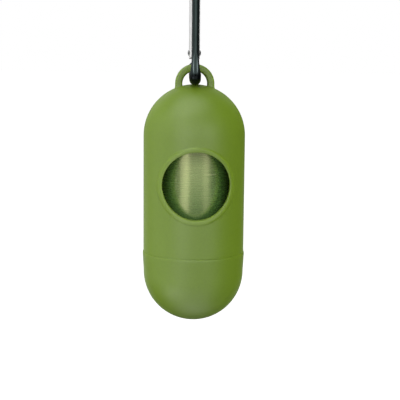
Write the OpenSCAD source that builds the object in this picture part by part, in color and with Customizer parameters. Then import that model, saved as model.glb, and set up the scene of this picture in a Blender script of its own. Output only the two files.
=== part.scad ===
// Capsule-shaped dispenser for a roll of small bags, hung from a spring-gate hook.
// Millimetres, +Z up, the window faces -Y. The origin is the hang point: the top of the
// inside of the hook, where a ring or strap carries it.

/* [Shell] */
// Outer radius of the capsule
shell_r = 20; // [19:0.5:22]
// Wall of the shell and cap
wall = 2; // [1.6:0.1:2.4]
// Straight length from the dome's centre down to the seam
straight_l = 46; // [44:0.5:50]

/* [Window] */
// Radius of the round window
win_r = 13; // [10:0.5:13.5]
// Width of the raised rim round the window
win_rim_w = 1.8; // [1.2:0.1:2.2]
// How far the rim stands proud of the shell
win_rim_h = 0.6; // [0.3:0.1:0.8]
// Window centre below the dome's centre
win_drop = 17.9; // [16.5:0.1:22]

/* [Loop] */
// Outer radius of the hanging loop
loop_ro = 7.67; // [7.2:0.01:8.2]
// Inner radius of the hanging loop
loop_ri = 4.88; // [4.86:0.01:5.1]
// Thickness of the loop from front to back
loop_t = 4; // [3:0.1:5]

/* [Cap] */
// Outer radius at the cap's rim
cap_rim_r = 20.3; // [20.1:0.05:20.4]
// Outer radius of the cap's round end
cap_r = 19.9; // [19.6:0.05:20]
// Height of the tapering band of the cap
cap_band = 8.2; // [8:0.1:9]

/* [Thread] */
// Travel in one full turn
thread_lead = 12; // [10:1:14]
// Number of starts
thread_starts = 3; // [2:1:3]
// Length of the ribs along the axis
thread_h = 6; // [5:0.5:6]

/* [Bag roll] */
// Outer radius of the full roll
roll_r = 15; // [13:0.5:15]
// Width of the roll
roll_w = 60; // [56:1:60]
// Outer radius of the cardboard core
core_r = 7.5; // [7:0.5:8]
// Wall of the cardboard core
core_wall = 1.1; // [0.8:0.1:1.4]

/* [Hook] */
// Outer length of the hook at the load line
hook_l = 50; // [48:1:56]
// Radius of the hook's round bar
bar_r = 2.25; // [2.2:0.01:2.26]
// Thickness of the flattened back of the hook
spine_t = 2.92; // [2.6:0.02:3.2]
// Back of the hook in front of the load line
spine_y = 8.5; // [8:0.5:10]
// Gate behind the load line
gate_y = 11.5; // [11.5:0.5:12]
// Radius of the gate
gate_r = 2.2; // [2.1:0.05:2.25]
// Turn of the hook against the window, in degrees
hook_yaw = 2; // [0:0.1:4]

/* [Hidden] */
$fn = 96;

bags = 15;
seam_gap = 0.3;                       // between shell and cap all round
hang_gap = 0.25;                      // between the loop and the bar it hangs on
bar_top = bar_r;                      // centre of the bar at the top of the hook
bar_low = bar_top - hook_l + 2*bar_r;  // centre of the bar at the bottom of the hook
loop_z = bar_low + bar_r + hang_gap - loop_ri;  // centre of the loop
dome_z = loop_z - 0.2 - shell_r;      // centre of the dome
seam_z = dome_z - straight_l;
cap_z = seam_z - cap_band;            // centre of the cap's round end
in_r = shell_r - wall;                // inside of the shell
neck_ro = 17.5;                       // outside of the threaded neck
neck_ri = 16.1;                       // the roll passes through this
neck_end = seam_z - cap_band + 0.3;
skirt_r = 18.6;                       // inside of the cap's skirt
bowl_r = cap_r - wall;                // inside of the cap's round end
rib_h = 0.8;                          // height of a thread rib
rib_t = 1.5;                          // thickness of a rib along the axis
rib_low = seam_z - 7.2;
win_z = dome_z - win_drop;
rim_ro = win_r + win_rim_w;
roll_low = cap_z - sqrt(pow(bowl_r - 0.28, 2) - pow(roll_r, 2));
film_ri = core_r + 0.08;              // the wound film runs on the core
// outer radius of the k-th bag counted from the outside: every bag is the same amount of film
function bag_r(k) = sqrt(pow(film_ri, 2) + (bags + 1 - k)*(pow(roll_r, 2) - pow(film_ri, 2))/bags);

// hook: the bottom half, and the top half as its mirror image
mid_z = (bar_top + bar_low)/2;
back_r = 2.8;                         // bend between the back and the bottom
bow_r = 6;                            // bend under the gate
bow_a = 18;                           // slope of the bar under the gate
nose_r = 3.9;                         // bend up to the gate
bow_y = 0.5;
sag_a = 14;                           // the bottom runs down to the back corner at this slope
knee_r = 6;
knee_y = -2.3;                        // level from here to the bow
slope_y = bow_y + bow_r*sin(bow_a);
slope_z = bar_low + bow_r*(1 - cos(bow_a));
bend_y = gate_y - nose_r*(1 - sin(bow_a));
slope_l = (bend_y - slope_y)/cos(bow_a);
bend_z = slope_z + slope_l*sin(bow_a);
tail_z = bend_z + nose_r*cos(bow_a);  // the bar ends here, under the gate
head_z = 2*mid_z - tail_z;            // and here, above it
rivet_z = tail_z + 3.35;
pin_z = head_z - 2.1;
gate_top = head_z - 0.6;
rivet_r = 0.6;
tang_t = 1.5;
slot_t = 1.7;
spring_bore = 1.15;
plunger_r = 1.07;
plunger_low = rivet_z + 1.75;
plunger_l = 3;
spring_low = plunger_low + plunger_l;
spring_high = rivet_z + 19;

// a bar's rounded rectangle, w across the first axis and t across the second
module rounded(w, t, r) {
  square([w - 2*r, t], center = true);
  square([w, t - 2*r], center = true);
  for (x = [-1, 1], y = [-1, 1]) translate([x*(w/2 - r), y*(t/2 - r)]) circle(r);
}

// local x to row Y, local y to row Z, local z to row X
module side() rotate([90, 0, 90]) children();

module helical_ribs(r0, r1, phase) {
  w = 360*rib_t/thread_lead;
  turn = 360*thread_h/thread_lead;
  for (k = [0:thread_starts - 1]) rotate([0, 0, phase + 360*k/thread_starts])
    translate([0, 0, rib_low]) linear_extrude(height = thread_h, twist = -turn, slices = 20, $fn = 16)
      polygon(concat([for (i = [0:5]) [r1*cos(w*i/5), r1*sin(w*i/5)]],
                     [for (i = [5:-1:0]) [r0*cos(w*i/5), r0*sin(w*i/5)]]));
}

module hanging_loop() {
  w = loop_ro - loop_ri;
  m = (loop_ro + loop_ri)/2;
  translate([0, 0, loop_z]) rotate([90, 0, 0]) rotate_extrude(angle = 180)
    translate([m, 0]) rounded(w, loop_t, 0.9);
  for (x = [-1, 1]) translate([x*m, 0, loop_z - 4]) linear_extrude(height = 4) rounded(w, loop_t, 0.9);
}

module upper_shell() color("olivedrab") {
  difference() {
    union() {
      // wall, thickened at the bottom where the neck starts
      rotate_extrude() difference() {
        union() {
          translate([0, dome_z]) intersection() { circle(shell_r); square(shell_r + 1); }
          translate([0, seam_z + seam_gap/2]) square([shell_r, straight_l - seam_gap/2]);
          translate([0, neck_end]) square([neck_ro, seam_z - neck_end + 1]);
        }
        translate([0, dome_z]) circle(in_r);
        translate([0, seam_z + 4.2]) square([in_r, straight_l - 4.2]);
        polygon([[0, neck_end - 1], [neck_ri, neck_end - 1], [neck_ri, seam_z + 2.3], [in_r, seam_z + 4.2], [0, seam_z + 4.2]]);
      }
      // raised rim of the window
      intersection() {
        translate([0, 0, win_z - rim_ro - 1]) cylinder(r = shell_r + win_rim_h, h = 2*rim_ro + 2);
        translate([0, 0, win_z]) rotate([90, 0, 0]) difference() {
          cylinder(r = rim_ro, h = shell_r + 2);
          translate([0, 0, -1]) cylinder(r = win_r - 0.5, h = shell_r + 4);
        }
        difference() {
          translate([-rim_ro - 1, -shell_r - 2, win_z - rim_ro - 1]) cube([2*rim_ro + 2, shell_r, 2*rim_ro + 2]);
          translate([0, 0, win_z - rim_ro - 2]) cylinder(r = shell_r - 1, h = 2*rim_ro + 4);
        }
      }
      // hanging loop, ending in the dome's wall
      difference() {
        hanging_loop();
        translate([0, 0, dome_z]) sphere(r = shell_r - 1);
      }
    }
    translate([0, 0, win_z]) rotate([90, 0, 0]) cylinder(r = win_r, h = shell_r + 4);
  }
  difference() {
    helical_ribs(neck_ro - 0.7, neck_ro + rib_h, 0);
    translate([0, 0, rib_low - 1]) cylinder(r = neck_ro - 0.5, h = thread_h + 2);
  }
}

module bottom_cap() color("olivedrab") {
  rotate_extrude() difference() {
    union() {
      polygon([[0, cap_z], [cap_r, cap_z], [cap_rim_r, seam_z - 0.6], [cap_rim_r - 0.15, seam_z - seam_gap/2], [0, seam_z - seam_gap/2]]);
      translate([0, cap_z]) intersection() { circle(cap_r); translate([0, -cap_r - 1]) square(cap_r + 1); }
    }
    translate([0, cap_z - 0.1]) square([skirt_r, cap_band + 1]);
    translate([0, cap_z]) circle(bowl_r);
  }
  difference() {
    helical_ribs(skirt_r - rib_h, skirt_r + 0.7, 180/thread_starts);
    translate([0, 0, rib_low - 1]) difference() {
      cylinder(r = skirt_r + 2, h = thread_h + 2);
      translate([0, 0, -1]) cylinder(r = skirt_r + 0.5, h = thread_h + 4);
    }
  }
}

module sleeve(ro, ri, low, w) translate([0, 0, low]) rotate_extrude() translate([ri, 0]) square([ro - ri, w]);

module roll_core() color("burlywood") sleeve(core_r, core_r - core_wall, roll_low + 0.2, roll_w - 0.4);

// one bag of wound film, drawn as the ring that its turns fill
module wound_bag(k) color("yellowgreen") sleeve(bag_r(k), (k == bags ? film_ri : bag_r(k + 1)) + (k == bags ? 0 : 0.02), roll_low, roll_w);
module bag_01() wound_bag(1);
module bag_02() wound_bag(2);
module bag_03() wound_bag(3);
module bag_04() wound_bag(4);
module bag_05() wound_bag(5);
module bag_06() wound_bag(6);
module bag_07() wound_bag(7);
module bag_08() wound_bag(8);
module bag_09() wound_bag(9);
module bag_10() wound_bag(10);
module bag_11() wound_bag(11);
module bag_12() wound_bag(12);
module bag_13() wound_bag(13);
module bag_14() wound_bag(14);
module bag_15() wound_bag(15);

// half of the bent bar, from the middle of the back round to the gate; sag is the slope down to the back corner
module half_bar(sag = 0) side() {
  over = 0.05;  // straight stretches are a hair thicker and lap into the bends
  fall_y = knee_y - knee_r*sin(sag);
  fall_z = bar_low - knee_r*(1 - cos(sag));
  fall_l = (fall_y + spine_y - back_r*(1 + sin(sag)))/cos(sag);
  back_z = sag > 0 ? fall_z + back_r*cos(sag) - fall_l*sin(sag) : bar_low + back_r;
  translate([-spine_y + back_r, back_z]) rotate([0, 0, 180]) rotate_extrude(angle = 90 + sag) translate([back_r, 0]) circle(bar_r);
  translate([-spine_y, back_z - over]) rotate([-90, 0, 0]) cylinder(r = bar_r + 0.02, h = mid_z - back_z + over);
  if (sag > 0) {
    translate([fall_y - (fall_l + over)*cos(sag), fall_z - (fall_l + over)*sin(sag)]) rotate([0, 0, sag]) rotate([0, 90, 0]) cylinder(r = bar_r + 0.02, h = fall_l + 2*over);
    translate([knee_y, bar_low - knee_r]) rotate([0, 0, 90]) rotate_extrude(angle = sag) translate([knee_r, 0]) circle(bar_r);
    translate([knee_y - over, bar_low]) rotate([0, 90, 0]) cylinder(r = bar_r + 0.02, h = bow_y - knee_y + 2*over);
  }
  else translate([-spine_y + back_r - over, bar_low]) rotate([0, 90, 0]) cylinder(r = bar_r + 0.02, h = spine_y - back_r + bow_y + 2*over);
  translate([bow_y, bar_low + bow_r]) rotate([0, 0, -90]) rotate_extrude(angle = bow_a) translate([bow_r, 0]) circle(bar_r);
  translate([slope_y - over*cos(bow_a), slope_z - over*sin(bow_a)]) rotate([0, 0, bow_a]) rotate([0, 90, 0]) cylinder(r = bar_r + 0.02, h = slope_l + 2*over);
  translate([gate_y - nose_r, tail_z]) rotate([0, 0, bow_a - 90]) rotate_extrude(angle = 90 - bow_a) translate([nose_r, 0]) circle(bar_r);
  // the bar's end is rounded off under the gate
  translate([gate_y, tail_z - over]) rotate([-90, 0, 0]) cylinder(r1 = bar_r + 0.02, r2 = bar_r - 0.9, h = 0.4 + over);
}

// flat on one side of the back, running out towards the bends
module flat_cut() {
  low = bar_low + 6.4;
  high = 2*mid_z - low;
  translate([0, -spine_y + 5.4, 0]) rotate([90, 0, 0]) linear_extrude(height = 9)
    polygon([[spine_t/2, low], [spine_t/2, high], [bar_r + 0.1, high + 5.4], [5, high + 5.4], [5, low - 5.4], [bar_r + 0.1, low - 5.4]]);
}

// the hook hangs a little turned from the window's direction
module turned_hook() rotate([0, 0, -hook_yaw]) children();

module carabiner_frame() color("darkslategray") turned_hook() difference() {
  union() {
    difference() {
      union() {
        half_bar(sag_a);
        translate([0, 0, 2*mid_z]) mirror([0, 0, 1]) half_bar();
      }
      flat_cut();
      mirror([1, 0, 0]) flat_cut();
      // the tail narrows towards the gate
      translate([0, gate_y, 0]) rotate_extrude() polygon([[0, tail_z + 1], [0, tail_z - 0.02], [0.85, tail_z - 0.02], [2.8, tail_z - 1.97], [5, tail_z - 1.97], [5, tail_z + 1]]);
    }
    // tongue that the gate turns on
    translate([-tang_t/2, gate_y - 1.5, tail_z - 1.7]) cube([tang_t, 3, rivet_z + 1.5 - tail_z + 1.7]);
    // tongue that the gate's pin catches in
    translate([-0.7, gate_y - 1.6, pin_z - 1.6]) cube([1.4, 3.2, head_z - pin_z + 2.1]);
  }
  translate([-2, gate_y, rivet_z]) rotate([0, 90, 0]) cylinder(r = rivet_r + 0.05, h = 4);
  translate([-2, gate_y, pin_z]) rotate([0, 90, 0]) cylinder(r = 0.8, h = 4);
  translate([-2, gate_y - 3, pin_z - 0.8]) cube([4, 3, 1.6]);
}

module carabiner_gate() color("silver") turned_hook() difference() {
  translate([0, gate_y, 0]) intersection() {
    rotate_extrude() polygon([[0, rivet_z - 2.5], [gate_r, rivet_z - 2.5], [gate_r, gate_top - 0.5], [gate_r - 0.5, gate_top], [0, gate_top]]);
    // round end about the rivet
    union() {
      translate([-3, 0, rivet_z]) rotate([0, 90, 0]) cylinder(r = 2.4, h = 6);
      translate([-3, -3, rivet_z]) cube([6, 6, gate_top - rivet_z + 1]);
    }
  }
  translate([-slot_t/2, gate_y - 4, rivet_z - 3]) cube([slot_t, 8, 5.2]);
  translate([-slot_t/2, gate_y - 4, pin_z - 2]) cube([slot_t, 8, 6]);
  translate([0, gate_y, rivet_z + 1.3]) cylinder(r = spring_bore, h = spring_high - rivet_z - 1.3);
  translate([-3, gate_y, rivet_z]) rotate([0, 90, 0]) cylinder(r = rivet_r, h = 6);
  translate([-3, gate_y, pin_z]) rotate([0, 90, 0]) cylinder(r = 0.5, h = 6);
}

module gate_rivet() color("dimgray") turned_hook() translate([0, gate_y, rivet_z]) rotate([0, 90, 0]) {
  translate([0, 0, -gate_r - 0.2]) cylinder(r = rivet_r, h = 2*gate_r + 0.4);
  // domed heads bear on the gate's two cheeks
  for (s = [-1, 1]) difference() {
    intersection() {
      translate([0, 0, s*(gate_r - 1.43)]) sphere(r = 1.9);
      translate([0, 0, -3]) cylinder(r = 1.21, h = 6);
    }
    translate([-3, -3, s > 0 ? -4 : -gate_r - 0.02]) cube([6, 6, gate_r + 4.02]);
  }
}

module latch_pin() color("silver") turned_hook() translate([-gate_r + 0.15, gate_y, pin_z]) rotate([0, 90, 0]) cylinder(r = 0.5, h = 2*gate_r - 0.3);

// coil spring: a round wire swept along a helix
function coil(t, turns, r, l) = [r*cos(360*turns*t), r*sin(360*turns*t), l*t];
module coil_spring(r, wire, turns, l, sides = 6, per = 10) {
  n = turns*per;
  rise = atan(l/turns/(2*PI*r));
  pts = [for (i = [0:n]) let (p = coil(i/n, turns, r, l), a = 360*turns*i/n) for (j = [0:sides - 1])
    let (b = 360*j/sides) p + wire*cos(b)*[cos(a), sin(a), 0] + wire*sin(b)*[sin(rise)*sin(a), -sin(rise)*cos(a), cos(rise)]];
  sidesf = [for (i = [0:n - 1], j = [0:sides - 1]) let (k = (j + 1)%sides) each
    [[i*sides + j, (i + 1)*sides + j, (i + 1)*sides + k], [i*sides + j, (i + 1)*sides + k, i*sides + k]]];
  polyhedron(points = pts, faces = concat([[for (j = [0:sides - 1]) j]], sidesf, [[for (j = [sides - 1:-1:0]) n*sides + j]]));
}
module gate_spring() color("silver") turned_hook() translate([0, gate_y, spring_low + 0.16])
  coil_spring(0.85, 0.14, 16, spring_high - spring_low - 0.32);

module spring_plunger() color("gray") turned_hook() translate([0, gate_y, plunger_low]) {
  cylinder(r = plunger_r, h = plunger_l - 1.2);
  translate([0, 0, plunger_l - 1.2]) cylinder(r1 = plunger_r, r2 = 0.6, h = 0.2);
  translate([0, 0, plunger_l - 1]) cylinder(r = 0.6, h = 1);
}

upper_shell();
bottom_cap();
roll_core();
bag_01();
bag_02();
bag_03();
bag_04();
bag_05();
bag_06();
bag_07();
bag_08();
bag_09();
bag_10();
bag_11();
bag_12();
bag_13();
bag_14();
bag_15();
carabiner_frame();
carabiner_gate();
gate_rivet();
latch_pin();
gate_spring();
spring_plunger();
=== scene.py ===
# A capsule bag dispenser hanging from a spring-gate hook: the looks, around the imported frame.
# Lengths below are in millimetres in the row frame, and become metres in the meshes.
import math
import random

import bmesh
import bpy
import numpy as np
from mathutils import Matrix, Vector


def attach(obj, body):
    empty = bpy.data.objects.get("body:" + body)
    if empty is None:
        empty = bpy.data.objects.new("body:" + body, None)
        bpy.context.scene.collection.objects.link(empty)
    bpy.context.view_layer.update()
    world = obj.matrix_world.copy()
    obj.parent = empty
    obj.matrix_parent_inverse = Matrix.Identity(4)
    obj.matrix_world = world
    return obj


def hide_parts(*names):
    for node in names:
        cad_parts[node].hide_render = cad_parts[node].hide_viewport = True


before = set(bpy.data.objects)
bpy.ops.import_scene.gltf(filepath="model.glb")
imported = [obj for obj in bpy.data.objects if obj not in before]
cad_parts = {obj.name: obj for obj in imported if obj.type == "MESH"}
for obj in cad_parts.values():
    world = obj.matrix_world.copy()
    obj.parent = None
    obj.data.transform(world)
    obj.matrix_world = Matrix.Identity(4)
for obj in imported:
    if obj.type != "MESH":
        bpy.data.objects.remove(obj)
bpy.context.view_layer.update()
MM = 0.001
random.seed(7)

# ---------------------------------------------------------------- sizes, as in the CAD
SHELL_R, WALL = 20.0, 2.0
IN_R = SHELL_R - WALL
WIN_R, RIM_RO, RIM_H = 13.0, 14.8, 0.6
BAR_R, BAR_TOP, BAR_LOW = 2.25, 2.25, -43.25
LOOP_RO, LOOP_RI, LOOP_T = 7.67, 4.88, 4.0
LOOP_Z = BAR_LOW + BAR_R + 0.25 - LOOP_RI
DOME_Z = LOOP_Z - 0.2 - SHELL_R
SEAM_Z = DOME_Z - 46.0
CAP_BAND, CAP_R, CAP_RIM_R = 8.2, 19.9, 20.3
CAP_Z = SEAM_Z - CAP_BAND
BOWL_R = CAP_R - WALL
NECK_RO, NECK_RI, NECK_END = 17.5, 16.1, SEAM_Z - CAP_BAND + 0.3
SKIRT_R = 18.6
RIB_LOW, RIB_H, RIB_T, LEAD, STARTS, THREAD_H = SEAM_Z - 7.2, 0.8, 1.5, 12.0, 3, 6.0
WIN_Z = DOME_Z - 17.9
ROLL_R, ROLL_W, CORE_R, CORE_WALL = 15.0, 60.0, 7.5, 1.1
FILM_RI = CORE_R + 0.08
ROLL_LOW = CAP_Z - math.sqrt((BOWL_R - 0.28) ** 2 - ROLL_R ** 2)
BAGS = 15
SPINE_Y, GATE_Y, SPINE_T = 8.5, 11.5, 2.92
MID_Z = (BAR_TOP + BAR_LOW) / 2
BACK_R, BOW_R, BOW_A, NOSE_R, BOW_Y = 2.8, 6.0, math.radians(18), 3.9, 0.5
SLOPE_Y, SLOPE_Z = BOW_Y + BOW_R * math.sin(BOW_A), BAR_LOW + BOW_R * (1 - math.cos(BOW_A))
BEND_Y = GATE_Y - NOSE_R * (1 - math.sin(BOW_A))
SLOPE_L = (BEND_Y - SLOPE_Y) / math.cos(BOW_A)
BEND_Z = SLOPE_Z + SLOPE_L * math.sin(BOW_A)
TAIL_Z = BEND_Z + NOSE_R * math.cos(BOW_A)
HEAD_Z = 2 * MID_Z - TAIL_Z
RIVET_Z, PIN_Z = TAIL_Z + 3.35, HEAD_Z - 2.1
YAW = math.radians(-2)
SAG_A, KNEE_R, KNEE_Y = math.radians(14), 6.0, -2.3


def bag_r(k):
    return math.sqrt(FILM_RI ** 2 + (BAGS + 1 - k) * (ROLL_R ** 2 - FILM_RI ** 2) / BAGS)


# ---------------------------------------------------------------- node helpers
def new_mat(name):
    m = bpy.data.materials.new(name)
    m.use_nodes = True
    m.node_tree.nodes.clear()
    out = m.node_tree.nodes.new("ShaderNodeOutputMaterial")
    bsdf = m.node_tree.nodes.new("ShaderNodeBsdfPrincipled")
    m.node_tree.links.new(bsdf.outputs[0], out.inputs[0])
    return m, bsdf


def node(m, kind, **props):
    n = m.node_tree.nodes.new(kind)
    for k, v in props.items():
        if k.startswith("in_"):
            n.inputs[k[3:].replace("_", " ")].default_value = v
        else:
            setattr(n, k, v)
    return n


def link(m, a, b):
    m.node_tree.links.new(a, b)


def coords(m, scale):
    """Object coordinates in millimetres times scale."""
    tc = node(m, "ShaderNodeTexCoord")
    mp = node(m, "ShaderNodeMapping")
    mp.inputs["Scale"].default_value = tuple(1000.0 * s for s in scale)
    link(m, tc.outputs["Object"], mp.inputs["Vector"])
    return mp.outputs[0]


def noise(m, vec, scale=1.0, detail=3.0, rough=0.5):
    n = node(m, "ShaderNodeTexNoise")
    n.inputs["Scale"].default_value = scale
    n.inputs["Detail"].default_value = detail
    n.inputs["Roughness"].default_value = rough
    link(m, vec, n.inputs["Vector"])
    return n.outputs["Fac"]


def ramp(m, fac, stops):
    r = node(m, "ShaderNodeValToRGB")
    e = r.color_ramp.elements
    while len(e) > 1:
        e.remove(e[-1])
    e[0].position, e[0].color = stops[0][0], (*stops[0][1], 1)
    for p, c in stops[1:]:
        x = e.new(p)
        x.color = (*c, 1)
    link(m, fac, r.inputs[0])
    return r.outputs["Color"]


def remap(m, fac, lo, hi, a=0.3, b=0.7):
    r = node(m, "ShaderNodeMapRange")
    for k, v in (("From Min", a), ("From Max", b), ("To Min", lo), ("To Max", hi)):
        r.inputs[k].default_value = v
    link(m, fac, r.inputs["Value"])
    return r.outputs[0]


def bump(m, height, strength, distance_mm, normal=None):
    b = node(m, "ShaderNodeBump")
    b.inputs["Strength"].default_value = strength
    b.inputs["Distance"].default_value = distance_mm * MM
    link(m, height, b.inputs["Height"])
    if normal is not None:
        link(m, normal, b.inputs["Normal"])
    return b.outputs[0]


# ---------------------------------------------------------------- materials
def green_plastic(name, tint=1.0, lip_glow_colour=None):
    m, s = new_mat(name)
    c1 = coords(m, (0.02, 0.02, 0.012))
    drift = noise(m, c1, 1.0, 2.0)
    speck = noise(m, coords(m, (1.3, 1.3, 1.3)), 1.0, 4.0, 0.65)
    base = ramp(m, drift, [(0.35, (0.137 * tint, 0.229 * tint, 0.0052 * tint)), (0.65, (0.147 * tint, 0.243 * tint, 0.0064 * tint))])
    fleck = ramp(m, speck, [(0.30, (0.93, 0.93, 0.90)), (0.52, (1, 1, 1)), (0.78, (1.05, 1.05, 1.10))])
    mix = node(m, "ShaderNodeMix", data_type="RGBA", blend_type="MULTIPLY")
    mix.inputs[0].default_value = 1.0
    link(m, base, mix.inputs[6])
    link(m, fleck, mix.inputs[7])
    # handling wear: edges are a little paler
    geo = node(m, "ShaderNodeNewGeometry")
    edge = remap(m, geo.outputs["Pointiness"], 0.0, 0.22, 0.53, 0.62)
    worn = node(m, "ShaderNodeMix", data_type="RGBA")
    worn.inputs[7].default_value = (0.20, 0.31, 0.02, 1)
    link(m, edge, worn.inputs[0])
    link(m, mix.outputs[2], worn.inputs[6])
    tone = worn.outputs[2]
    if lip_glow_colour:
        # painted glow: the thin lip round the window is painted paler than the wall, standing in for the extra light
        # that falls on and through the lip
        tc = node(m, "ShaderNodeTexCoord")
        mp = node(m, "ShaderNodeMapping")
        mp.inputs["Location"].default_value = (0, 0, -WIN_Z)
        mp.inputs["Scale"].default_value = (1000, 0, 1000)
        link(m, tc.outputs["Object"], mp.inputs["Vector"])
        dist = node(m, "ShaderNodeVectorMath", operation="LENGTH")
        link(m, mp.outputs[0], dist.inputs[0])
        sep = node(m, "ShaderNodeSeparateXYZ")
        link(m, tc.outputs["Object"], sep.inputs[0])
        front = remap(m, sep.outputs["Y"], 1.0, 0.0, -0.0135, -0.0125)
        band = remap(m, dist.outputs["Value"], 1.0, 0.0, 14.65, 15.0)
        both = node(m, "ShaderNodeMath", operation="MULTIPLY")
        link(m, front, both.inputs[0])
        link(m, band, both.inputs[1])
        pale = node(m, "ShaderNodeMix", data_type="RGBA")
        pale.inputs[7].default_value = (*lip_glow_colour, 1)
        link(m, both.outputs[0], pale.inputs[0])
        link(m, tone, pale.inputs[6])
        tone = pale.outputs[2]
    link(m, tone, s.inputs["Base Color"])
    rough = noise(m, coords(m, (0.35, 0.35, 0.35)), 1.0, 3.0)
    link(m, remap(m, rough, 0.44, 0.50), s.inputs["Roughness"])
    s.inputs["Specular IOR Level"].default_value = 1.0
    s.inputs["IOR"].default_value = 1.6
    # moulded texture: a fine spark grain over a faint unevenness of the wall
    grain = noise(m, coords(m, (3.2, 3.2, 3.2)), 1.0, 2.0, 0.6)
    wave = noise(m, coords(m, (0.11, 0.11, 0.06)), 1.0, 2.0)
    n1 = bump(m, wave, 0.25, 0.10)
    n2 = bump(m, grain, 0.22, 0.03, n1)
    link(m, n2, s.inputs["Normal"])
    return m


def bag_film(name, seed=0.0, end=False):
    m, s = new_mat(name)
    long = noise(m, coords(m, (0.05, 0.05, 0.9)), 1.0, 4.0, 0.6)
    fine = noise(m, coords(m, (0.12, 0.12, 4.5)), 1.0, 3.0, 0.55)
    blot = noise(m, coords(m, (0.22, 0.22, 0.22)), 1.0, 2.0)
    base = ramp(m, blot, [(0.3, (0.080, 0.186, 0.046)), (0.7, (0.088, 0.203, 0.051))])
    streak = ramp(m, long, [(0.35, (0.98, 0.985, 0.98)), (0.65, (1.01, 1.01, 1.015))])
    mix = node(m, "ShaderNodeMix", data_type="RGBA", blend_type="MULTIPLY")
    mix.inputs[0].default_value = 1.0
    link(m, base, mix.inputs[6])
    link(m, streak, mix.inputs[7])
    # painted highlight: a short pale line right of the window's middle, standing in for the light caught along a fold
    # in the film
    tc = node(m, "ShaderNodeTexCoord")
    at = node(m, "ShaderNodeSeparateXYZ")
    link(m, tc.outputs["Object"], at.inputs[0])
    dz = node(m, "ShaderNodeMath", operation="ADD")
    dz.inputs[1].default_value = 79.8 * MM
    link(m, at.outputs["Z"], dz.inputs[0])
    far = node(m, "ShaderNodeMath", operation="ABSOLUTE")
    link(m, dz.outputs[0], far.inputs[0])
    fold_highlight_mask = remap(m, far.outputs[0], 1.0, 0.0, 0.08 * MM, 0.26 * MM)
    for q in (remap(m, at.outputs["X"], 0.0, 1.0, 3.0 * MM, 5.2 * MM), remap(m, at.outputs["X"], 1.0, 0.0, 7.6 * MM, 8.4 * MM), remap(m, at.outputs["Y"], 1.0, 0.0, -6.0 * MM, -4.0 * MM)):
        mu = node(m, "ShaderNodeMath", operation="MULTIPLY")
        link(m, fold_highlight_mask, mu.inputs[0])
        link(m, q, mu.inputs[1])
        fold_highlight_mask = mu.outputs[0]
    pale = node(m, "ShaderNodeMix", data_type="RGBA")
    pale.inputs[7].default_value = (0.23, 0.32, 0.14, 1)
    link(m, fold_highlight_mask, pale.inputs[0])
    link(m, mix.outputs[2], pale.inputs[6])
    link(m, pale.outputs[2], s.inputs["Base Color"])
    link(m, remap(m, fine, 0.258, 0.282), s.inputs["Roughness"])
    # many thin layers with air between them reflect more than one skin does
    s.inputs["Specular IOR Level"].default_value = 1.0
    s.inputs["IOR"].default_value = 2.35
    s.inputs["Specular Tint"].default_value = (1.0, 1.0, 0.49, 1)
    s.inputs["Coat Weight"].default_value = 0.25
    s.inputs["Coat Roughness"].default_value = 0.2
    n1 = bump(m, long, 0.014, 0.10)
    n2 = bump(m, fine, 0.013, 0.03, n1)
    # the outer turns slacken towards the window's lower edge, which leans their surface downwards
    tc = node(m, "ShaderNodeTexCoord")
    sep = node(m, "ShaderNodeSeparateXYZ")
    link(m, tc.outputs["Object"], sep.inputs[0])
    fall = remap(m, sep.outputs["Z"], 1.0, 0.0, (WIN_Z - 18.0) * MM, (WIN_Z + 2.0) * MM)
    sq = node(m, "ShaderNodeMath", operation="POWER")
    sq.inputs[1].default_value = 2.0
    link(m, fall, sq.inputs[0])
    neg = node(m, "ShaderNodeMath", operation="MULTIPLY")
    neg.inputs[1].default_value = -1.0
    link(m, sq.outputs[0], neg.inputs[0])
    n2 = bump(m, neg.outputs[0], 1.0, 0.72, n2)
    # and bulge a little under its upper edge
    lift = remap(m, sep.outputs["Z"], 0.0, 1.0, (WIN_Z + 6.5) * MM, (WIN_Z + 14.0) * MM)
    sq2 = node(m, "ShaderNodeMath", operation="POWER")
    sq2.inputs[1].default_value = 2.0
    link(m, lift, sq2.inputs[0])
    n2 = bump(m, sq2.outputs[0], 1.0, 0.30, n2)
    link(m, n2, s.inputs["Normal"])
    return m


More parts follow.
